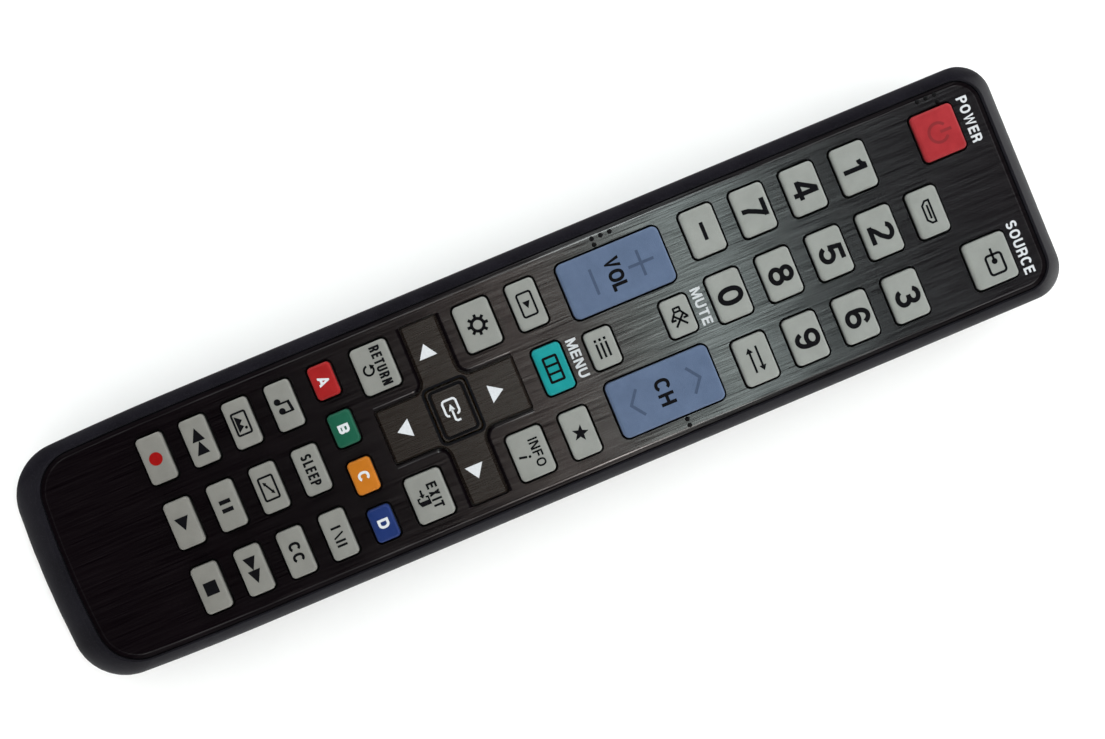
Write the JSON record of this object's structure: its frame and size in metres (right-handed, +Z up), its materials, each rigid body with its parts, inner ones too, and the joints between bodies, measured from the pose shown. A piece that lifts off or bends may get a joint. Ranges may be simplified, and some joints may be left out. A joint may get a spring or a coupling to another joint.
{
  "type": "television remote control",
  "caption": "Handheld infrared remote control: dark brushed faceplate, rubber keys, two rockers, a cross-shaped direction pad and a sliding battery door.",
  "frame": {"origin": "centre of the flat back face, on the surface the remote lies on", "axes": "+X to the right and +Y towards the infrared window when the keys face up, +Z up out of the key side"},
  "size_m": [0.0508, 0.215, 0.0207],
  "materials": {
    "grey_key_rubber": "fine-grained satin silicone rubber",
    "red_power_rubber": "satin silicone rubber, red",
    "teal_key_rubber": "satin silicone rubber, teal",
    "slate_blue_rubber": "satin silicone rubber, slate blue",
    "red_key_rubber": "satin silicone rubber, red",
    "green_key_rubber": "satin silicone rubber, green",
    "amber_key_rubber": "satin silicone rubber, amber",
    "blue_key_rubber": "satin silicone rubber, blue",
    "dark_gloss_plastic": "brushed dark lacquered plastic",
    "mat_rubber": "matt black silicone rubber",
    "brushed_faceplate": "dark hairline-brushed, lacquered",
    "upper_shell_plastic": "fine spark-eroded grain, near black",
    "lower_shell_plastic": "fine spark-eroded grain, near black",
    "board_laminate": "paper laminate with carbon contacts",
    "chip_epoxy": "moulded epoxy with tinned legs",
    "capacitor_sleeve": "shrink sleeve",
    "emitter_epoxy": "clear tinted epoxy",
    "infrared_window": "polished, dark red-black, passes infrared",
    "cell_can": null,
    "spring_wire": "nickel-plated spring wire",
    "contact_plate": "nickel-plated strip",
    "screw_steel": "zinc-plated"
  },
  "bodies": {
    "case": {"lower_case": "lower_shell_plastic", "upper_case": "upper_shell_plastic", "faceplate": "brushed_faceplate", "keypad_mat": "mat_rubber", "circuit_board": "board_laminate", "control_chip": "chip_epoxy", "capacitor": "capacitor_sleeve", "ir_emitter": "emitter_epoxy", "ir_window": "infrared_window", "battery_left": "cell_can", "battery_right": "cell_can", "battery_springs": "spring_wire", "battery_contacts": "contact_plate", "case_screws": "screw_steel"},
    "battery_door": {"battery_door": "lower_shell_plastic"},
    "volume_rocker": {"volume_rocker": "slate_blue_rubber"},
    "channel_rocker": {"channel_rocker": "slate_blue_rubber"},
    "nav_web": {"nav_web": "mat_rubber"},
    "nav_cross": {"nav_cross": "dark_gloss_plastic"},
    "enter_key": {"enter_key": "dark_gloss_plastic"},
    "power_key": {"power_key": "red_power_rubber"},
    "source_key": {"source_key": "grey_key_rubber"},
    "av_input_key": {"av_input_key": "grey_key_rubber"},
    "digit_5_key": {"digit_5_key": "grey_key_rubber"},
    "digit_0_key": {"digit_0_key": "grey_key_rubber"},
    "mute_key": {"mute_key": "grey_key_rubber"},
    "channel_list_key": {"channel_list_key": "grey_key_rubber"},
    "menu_key": {"menu_key": "teal_key_rubber"},
    "tools_key": {"tools_key": "grey_key_rubber"},
    "info_key": {"info_key": "grey_key_rubber"},
    "return_key": {"return_key": "grey_key_rubber"},
    "exit_key": {"exit_key": "grey_key_rubber"},
    "red_key_a": {"red_key_a": "red_key_rubber"},
    "blue_key_d": {"blue_key_d": "blue_key_rubber"},
    "sleep_key": {"sleep_key": "grey_key_rubber"},
    "play_key": {"play_key": "grey_key_rubber"},
    "stop_key": {"stop_key": "grey_key_rubber"},
    "digit_1_key": {"digit_1_key": "grey_key_rubber"},
    "digit_2_key": {"digit_2_key": "grey_key_rubber"},
    "digit_3_key": {"digit_3_key": "grey_key_rubber"},
    "digit_4_key": {"digit_4_key": "grey_key_rubber"},
    "digit_6_key": {"digit_6_key": "grey_key_rubber"},
    "digit_7_key": {"digit_7_key": "grey_key_rubber"},
    "digit_8_key": {"digit_8_key": "grey_key_rubber"},
    "digit_9_key": {"digit_9_key": "grey_key_rubber"},
    "dash_key": {"dash_key": "grey_key_rubber"},
    "previous_channel_key": {"previous_channel_key": "grey_key_rubber"},
    "media_key": {"media_key": "grey_key_rubber"},
    "favourite_key": {"favourite_key": "grey_key_rubber"},
    "sound_mode_key": {"sound_mode_key": "grey_key_rubber"},
    "audio_track_key": {"audio_track_key": "grey_key_rubber"},
    "picture_mode_key": {"picture_mode_key": "grey_key_rubber"},
    "picture_size_key": {"picture_size_key": "grey_key_rubber"},
    "captions_key": {"captions_key": "grey_key_rubber"},
    "rewind_key": {"rewind_key": "grey_key_rubber"},
    "pause_key": {"pause_key": "grey_key_rubber"},
    "fast_forward_key": {"fast_forward_key": "grey_key_rubber"},
    "record_key": {"record_key": "grey_key_rubber"},
    "green_key_b": {"green_key_b": "green_key_rubber"},
    "yellow_key_c": {"yellow_key_c": "amber_key_rubber"}
  },
  "joints": [
    {"name": "battery_door_slide", "type": "slide", "parent": "case", "child": "battery_door", "axis": [0, -1, 0], "range_m": [0, 0.078]},
    {"name": "volume_rocker_rock", "type": "hinge", "parent": "case", "child": "volume_rocker", "pos_m": [-0.01278, 0.02177, 0.01597], "axis": [1, 0, 0], "range_deg": [-3.5, 3.5], "stiffness_Nm_per_rad": 0.16},
    {"name": "channel_rocker_rock", "type": "hinge", "parent": "case", "child": "channel_rocker", "pos_m": [0.01278, 0.02177, 0.01597], "axis": [1, 0, 0], "range_deg": [-3.5, 3.5], "stiffness_Nm_per_rad": 0.16},
    {"name": "nav_up_down_tilt", "type": "hinge", "parent": "case", "child": "nav_web", "pos_m": [0, -0.0185, 0.01597], "axis": [1, 0, 0], "range_deg": [-2.2, 2.2], "stiffness_Nm_per_rad": 0.25},
    {"name": "nav_left_right_tilt", "type": "hinge", "parent": "nav_web", "child": "nav_cross", "pos_m": [0, -0.0185, 0.01597], "axis": [0, 1, 0], "range_deg": [-1.8, 1.8], "stiffness_Nm_per_rad": 0.25},
    {"name": "enter_key_press", "type": "slide", "parent": "case", "child": "enter_key", "axis": [0, 0, -1], "range_m": [0, 0.001], "stiffness_N_per_m": 1000},
    {"name": "power_key_press", "type": "slide", "parent": "case", "child": "power_key", "axis": [0, 0, -1], "range_m": [0, 0.001], "stiffness_N_per_m": 1000},
    {"name": "source_key_press", "type": "slide", "parent": "case", "child": "source_key", "axis": [0, 0, -1], "range_m": [0, 0.001], "stiffness_N_per_m": 1000},
    {"name": "av_input_key_press", "type": "slide", "parent": "case", "child": "av_input_key", "axis": [0, 0, -1], "range_m": [0, 0.001], "stiffness_N_per_m": 1000},
    {"name": "digit_5_key_press", "type": "slide", "parent": "case", "child": "digit_5_key", "axis": [0, 0, -1], "range_m": [0, 0.001], "stiffness_N_per_m": 1000},
    {"name": "digit_0_key_press", "type": "slide", "parent": "case", "child": "digit_0_key", "axis": [0, 0, -1], "range_m": [0, 0.001], "stiffness_N_per_m": 1000},
    {"name": "mute_key_press", "type": "slide", "parent": "case", "child": "mute_key", "axis": [0, 0, -1], "range_m": [0, 0.001], "stiffness_N_per_m": 1000},
    {"name": "channel_list_key_press", "type": "slide", "parent": "case", "child": "channel_list_key", "axis": [0, 0, -1], "range_m": [0, 0.001], "stiffness_N_per_m": 1000},
    {"name": "menu_key_press", "type": "slide", "parent": "case", "child": "menu_key", "axis": [0, 0, -1], "range_m": [0, 0.001], "stiffness_N_per_m": 1000},
    {"name": "tools_key_press", "type": "slide", "parent": "case", "child": "tools_key", "axis": [0, 0, -1], "range_m": [0, 0.001], "stiffness_N_per_m": 1000},
    {"name": "info_key_press", "type": "slide", "parent": "case", "child": "info_key", "axis": [0, 0, -1], "range_m": [0, 0.001], "stiffness_N_per_m": 1000},
    {"name": "return_key_press", "type": "slide", "parent": "case", "child": "return_key", "axis": [0, 0, -1], "range_m": [0, 0.001], "stiffness_N_per_m": 1000},
    {"name": "exit_key_press", "type": "slide", "parent": "case", "child": "exit_key", "axis": [0, 0, -1], "range_m": [0, 0.001], "stiffness_N_per_m": 1000},
    {"name": "red_key_a_press", "type": "slide", "parent": "case", "child": "red_key_a", "axis": [0, 0, -1], "range_m": [0, 0.001], "stiffness_N_per_m": 1000},
    {"name": "blue_key_d_press", "type": "slide", "parent": "case", "child": "blue_key_d", "axis": [0, 0, -1], "range_m": [0, 0.001], "stiffness_N_per_m": 1000},
    {"name": "sleep_key_press", "type": "slide", "parent": "case", "child": "sleep_key", "axis": [0, 0, -1], "range_m": [0, 0.001], "stiffness_N_per_m": 1000},
    {"name": "play_key_press", "type": "slide", "parent": "case", "child": "play_key", "axis": [0, 0, -1], "range_m": [0, 0.001], "stiffness_N_per_m": 1000},
    {"name": "stop_key_press", "type": "slide", "parent": "case", "child": "stop_key", "axis": [0, 0, -1], "range_m": [0, 0.001], "stiffness_N_per_m": 1000},
    {"name": "digit_1_key_press", "type": "slide", "parent": "case", "child": "digit_1_key", "axis": [0, 0, -1], "range_m": [0, 0.001], "stiffness_N_per_m": 1000},
    {"name": "digit_2_key_press", "type": "slide", "parent": "case", "child": "digit_2_key", "axis": [0, 0, -1], "range_m": [0, 0.001], "stiffness_N_per_m": 1000},
    {"name": "digit_3_key_press", "type": "slide", "parent": "case", "child": "digit_3_key", "axis": [0, 0, -1], "range_m": [0, 0.001], "stiffness_N_per_m": 1000},
    {"name": "digit_4_key_press", "type": "slide", "parent": "case", "child": "digit_4_key", "axis": [0, 0, -1], "range_m": [0, 0.001], "stiffness_N_per_m": 1000},
    {"name": "digit_6_key_press", "type": "slide", "parent": "case", "child": "digit_6_key", "axis": [0, 0, -1], "range_m": [0, 0.001], "stiffness_N_per_m": 1000},
    {"name": "digit_7_key_press", "type": "slide", "parent": "case", "child": "digit_7_key", "axis": [0, 0, -1], "range_m": [0, 0.001], "stiffness_N_per_m": 1000},
    {"name": "digit_8_key_press", "type": "slide", "parent": "case", "child": "digit_8_key", "axis": [0, 0, -1], "range_m": [0, 0.001], "stiffness_N_per_m": 1000},
    {"name": "digit_9_key_press", "type": "slide", "parent": "case", "child": "digit_9_key", "axis": [0, 0, -1], "range_m": [0, 0.001], "stiffness_N_per_m": 1000},
    {"name": "dash_key_press", "type": "slide", "parent": "case", "child": "dash_key", "axis": [0, 0, -1], "range_m": [0, 0.001], "stiffness_N_per_m": 1000},
    {"name": "previous_channel_key_press", "type": "slide", "parent": "case", "child": "previous_channel_key", "axis": [0, 0, -1], "range_m": [0, 0.001], "stiffness_N_per_m": 1000},
    {"name": "media_key_press", "type": "slide", "parent": "case", "child": "media_key", "axis": [0, 0, -1], "range_m": [0, 0.001], "stiffness_N_per_m": 1000},
    {"name": "favourite_key_press", "type": "slide", "parent": "case", "child": "favourite_key", "axis": [0, 0, -1], "range_m": [0, 0.001], "stiffness_N_per_m": 1000},
    {"name": "sound_mode_key_press", "type": "slide", "parent": "case", "child": "sound_mode_key", "axis": [0, 0, -1], "range_m": [0, 0.001], "stiffness_N_per_m": 1000},
    {"name": "audio_track_key_press", "type": "slide", "parent": "case", "child": "audio_track_key", "axis": [0, 0, -1], "range_m": [0, 0.001], "stiffness_N_per_m": 1000},
    {"name": "picture_mode_key_press", "type": "slide", "parent": "case", "child": "picture_mode_key", "axis": [0, 0, -1], "range_m": [0, 0.001], "stiffness_N_per_m": 1000},
    {"name": "picture_size_key_press", "type": "slide", "parent": "case", "child": "picture_size_key", "axis": [0, 0, -1], "range_m": [0, 0.001], "stiffness_N_per_m": 1000},
    {"name": "captions_key_press", "type": "slide", "parent": "case", "child": "captions_key", "axis": [0, 0, -1], "range_m": [0, 0.001], "stiffness_N_per_m": 1000},
    {"name": "rewind_key_press", "type": "slide", "parent": "case", "child": "rewind_key", "axis": [0, 0, -1], "range_m": [0, 0.001], "stiffness_N_per_m": 1000},
    {"name": "pause_key_press", "type": "slide", "parent": "case", "child": "pause_key", "axis": [0, 0, -1], "range_m": [0, 0.001], "stiffness_N_per_m": 1000},
    {"name": "fast_forward_key_press", "type": "slide", "parent": "case", "child": "fast_forward_key", "axis": [0, 0, -1], "range_m": [0, 0.001], "stiffness_N_per_m": 1000},
    {"name": "record_key_press", "type": "slide", "parent": "case", "child": "record_key", "axis": [0, 0, -1], "range_m": [0, 0.001], "stiffness_N_per_m": 1000},
    {"name": "green_key_b_press", "type": "slide", "parent": "case", "child": "green_key_b", "axis": [0, 0, -1], "range_m": [0, 0.001], "stiffness_N_per_m": 1000},
    {"name": "yellow_key_c_press", "type": "slide", "parent": "case", "child": "yellow_key_c", "axis": [0, 0, -1], "range_m": [0, 0.001], "stiffness_N_per_m": 1000}
  ]
}
